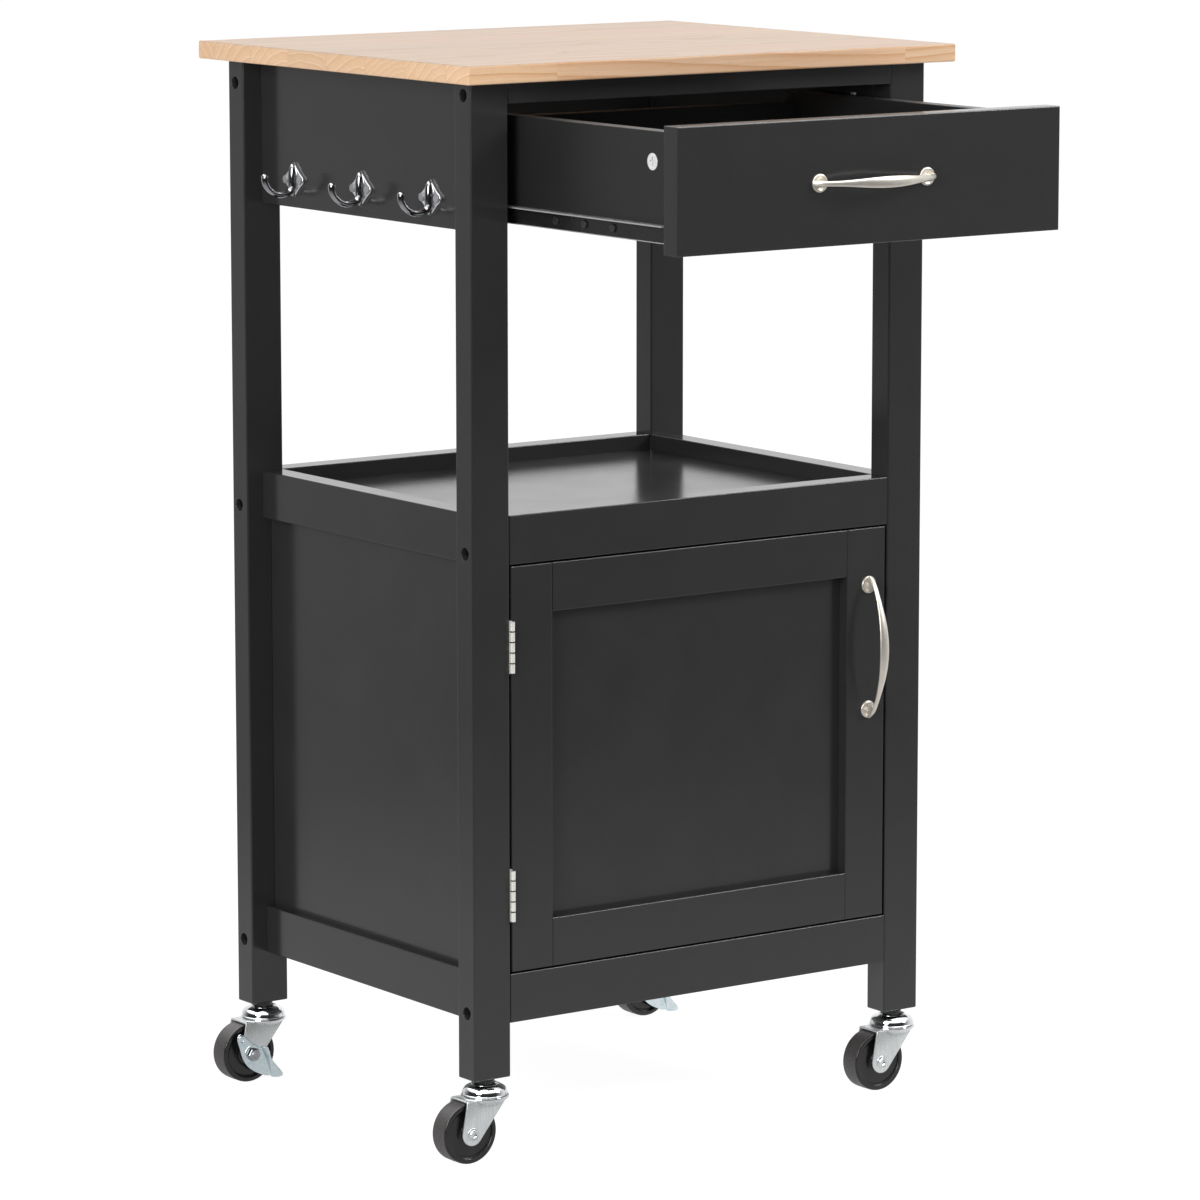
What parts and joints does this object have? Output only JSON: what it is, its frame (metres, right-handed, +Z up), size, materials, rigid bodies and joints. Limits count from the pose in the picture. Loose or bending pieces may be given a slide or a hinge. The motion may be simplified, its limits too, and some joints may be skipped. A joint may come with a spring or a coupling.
{
  "type": "serving cart",
  "caption": "Small kitchen serving cart: black timber frame, hardwood worktop, open drawer, open shelf, cupboard with framed door, side hooks and swivel castors.",
  "frame": {"origin": "on the floor, below the middle of the frame", "axes": "+X to the cart's right as seen from the front, +Y to the back, +Z up; the drawer opens towards -Y and the hooks are on the -X side"},
  "size_m": [0.4717, 0.5924, 0.838],
  "materials": {
    "hardwood": "edge-glued light hardwood staves, clear satin lacquer",
    "painted_wood": "solid softwood in satin black paint",
    "painted_board": "fibreboard in satin black paint",
    "satin_nickel": "cast zinc alloy, satin nickel plated",
    "dark_chrome": "cast zinc alloy, polished black chrome",
    "bright_steel": "bright zinc plated steel",
    "black_zinc": "black zinc plated steel",
    "black_enamel_steel": "epoxy coated sheet steel, black",
    "zinc_plate": "bright blue-passivated zinc on pressed steel",
    "black_wheel_plastic": "moulded black plastic, slight gloss",
    "catch_plastic": "moulded black plastic with a magnet inside",
    "roller_nylon": "black nylon rollers"
  },
  "bodies": {
    "carcass": {"worktop": "hardwood", "leg_front_left": "painted_wood", "leg_front_right": "painted_wood", "leg_rear_left": "painted_wood", "leg_rear_right": "painted_wood", "apron_left": "painted_wood", "apron_right": "painted_wood", "apron_rear": "painted_wood", "top_rail_front": "painted_wood", "shelf_rail_front": "painted_wood", "shelf_rail_rear": "painted_wood", "shelf_rail_left": "painted_wood", "shelf_rail_right": "painted_wood", "shelf_board": "painted_board", "bottom_rail_front": "painted_wood", "bottom_rail_rear": "painted_wood", "bottom_rail_left": "painted_wood", "bottom_rail_right": "painted_wood", "side_panel_left": "painted_board", "side_panel_right": "painted_board", "back_panel": "painted_board", "cabinet_floor": "painted_board", "frame_bolts": "black_zinc", "carcass_screws": "bright_steel", "hooks": "dark_chrome", "hinge_frame_leaves": "bright_steel", "magnet_catch": "catch_plastic", "runner_cabinet_left": "black_enamel_steel", "runner_cabinet_right": "black_enamel_steel", "caster_stems": "zinc_plate"},
    "door": {"door_stile_hinge": "painted_wood", "door_stile_handle": "painted_wood", "door_rail_top": "painted_wood", "door_rail_bottom": "painted_wood", "door_panel": "painted_board", "door_handle": "satin_nickel", "hinge_door_leaves": "bright_steel", "door_screws": "bright_steel", "catch_plate": "bright_steel"},
    "drawer": {"drawer_front": "painted_board", "drawer_side_left": "painted_board", "drawer_side_right": "painted_board", "drawer_back": "painted_board", "drawer_bottom": "painted_board", "drawer_handle": "satin_nickel", "runner_drawer_left": "black_enamel_steel", "runner_drawer_right": "black_enamel_steel", "drawer_fasteners": "bright_steel"},
    "cabinet_rollers": {"cabinet_rollers": "roller_nylon"},
    "drawer_rollers": {"drawer_rollers": "roller_nylon"},
    "swivel_front_left": {"caster_fork_front_left": "zinc_plate"},
    "wheel_front_left": {"caster_wheel_front_left": "black_wheel_plastic"},
    "swivel_front_right": {"caster_fork_front_right": "zinc_plate"},
    "wheel_front_right": {"caster_wheel_front_right": "black_wheel_plastic"},
    "swivel_rear_left": {"caster_fork_rear_left": "zinc_plate"},
    "wheel_rear_left": {"caster_wheel_rear_left": "black_wheel_plastic"},
    "swivel_rear_right": {"caster_fork_rear_right": "zinc_plate"},
    "wheel_rear_right": {"caster_wheel_rear_right": "black_wheel_plastic"},
    "brake_left": {"brake_lever_left": "zinc_plate"},
    "brake_right": {"brake_lever_right": "zinc_plate"}
  },
  "joints": [
    {"name": "drawer_slide", "type": "slide", "parent": "carcass", "child": "drawer", "axis": [0, -1, 0], "range_m": [-0.209, 0.011]},
    {"name": "door_hinge", "type": "hinge", "parent": "carcass", "child": "door", "pos_m": [-0.1805, -0.1723, 0.3011], "axis": [0, 0, -1], "range_deg": [0, 170]},
    {"name": "cabinet_roller_spin", "type": "hinge", "parent": "carcass", "child": "cabinet_rollers", "pos_m": [0, -0.138, 0.7225], "axis": [1, 0, 0], "range_deg": [-1970, 110]},
    {"name": "drawer_roller_spin", "type": "hinge", "parent": "drawer", "child": "drawer_rollers", "pos_m": [0, -0.079, 0.7225], "axis": [1, 0, 0], "range_deg": [-1970, 110]},
    {"name": "swivel_front_left", "type": "hinge", "parent": "carcass", "child": "swivel_front_left", "pos_m": [-0.19825, -0.159, 0.0508], "axis": [0, 0, 1], "continuous": true},
    {"name": "wheel_front_left", "type": "hinge", "parent": "swivel_front_left", "child": "wheel_front_left", "pos_m": [-0.21725, -0.159, 0.024], "axis": [0, 1, 0], "continuous": true},
    {"name": "swivel_front_right", "type": "hinge", "parent": "carcass", "child": "swivel_front_right", "pos_m": [0.19825, -0.159, 0.0508], "axis": [0, 0, 1], "continuous": true},
    {"name": "wheel_front_right", "type": "hinge", "parent": "swivel_front_right", "child": "wheel_front_right", "pos_m": [0.17925, -0.159, 0.024], "axis": [0, 1, 0], "continuous": true},
    {"name": "swivel_rear_left", "type": "hinge", "parent": "carcass", "child": "swivel_rear_left", "pos_m": [-0.19825, 0.159, 0.0508], "axis": [0, 0, 1], "continuous": true},
    {"name": "wheel_rear_left", "type": "hinge", "parent": "swivel_rear_left", "child": "wheel_rear_left", "pos_m": [-0.21725, 0.159, 0.024], "axis": [0, 1, 0], "continuous": true},
    {"name": "swivel_rear_right", "type": "hinge", "parent": "carcass", "child": "swivel_rear_right", "pos_m": [0.19825, 0.159, 0.0508], "axis": [0, 0, 1], "continuous": true},
    {"name": "wheel_rear_right", "type": "hinge", "parent": "swivel_rear_right", "child": "wheel_rear_right", "pos_m": [0.17925, 0.159, 0.024], "axis": [0, 1, 0], "continuous": true},
    {"name": "brake_left", "type": "hinge", "parent": "swivel_rear_left", "child": "brake_left", "pos_m": [-0.21725, 0.159, 0.024], "axis": [0, -1, 0], "range_deg": [0, 25]},
    {"name": "brake_right", "type": "hinge", "parent": "swivel_rear_right", "child": "brake_right", "pos_m": [0.17925, 0.159, 0.024], "axis": [0, -1, 0], "range_deg": [0, 25]}
  ],
  "couplings": [
    {"joint": "cabinet_roller_spin", "follows": "drawer_slide", "rad_per_m": 163.93},
    {"joint": "drawer_roller_spin", "follows": "drawer_slide", "rad_per_m": 163.93}
  ]
}
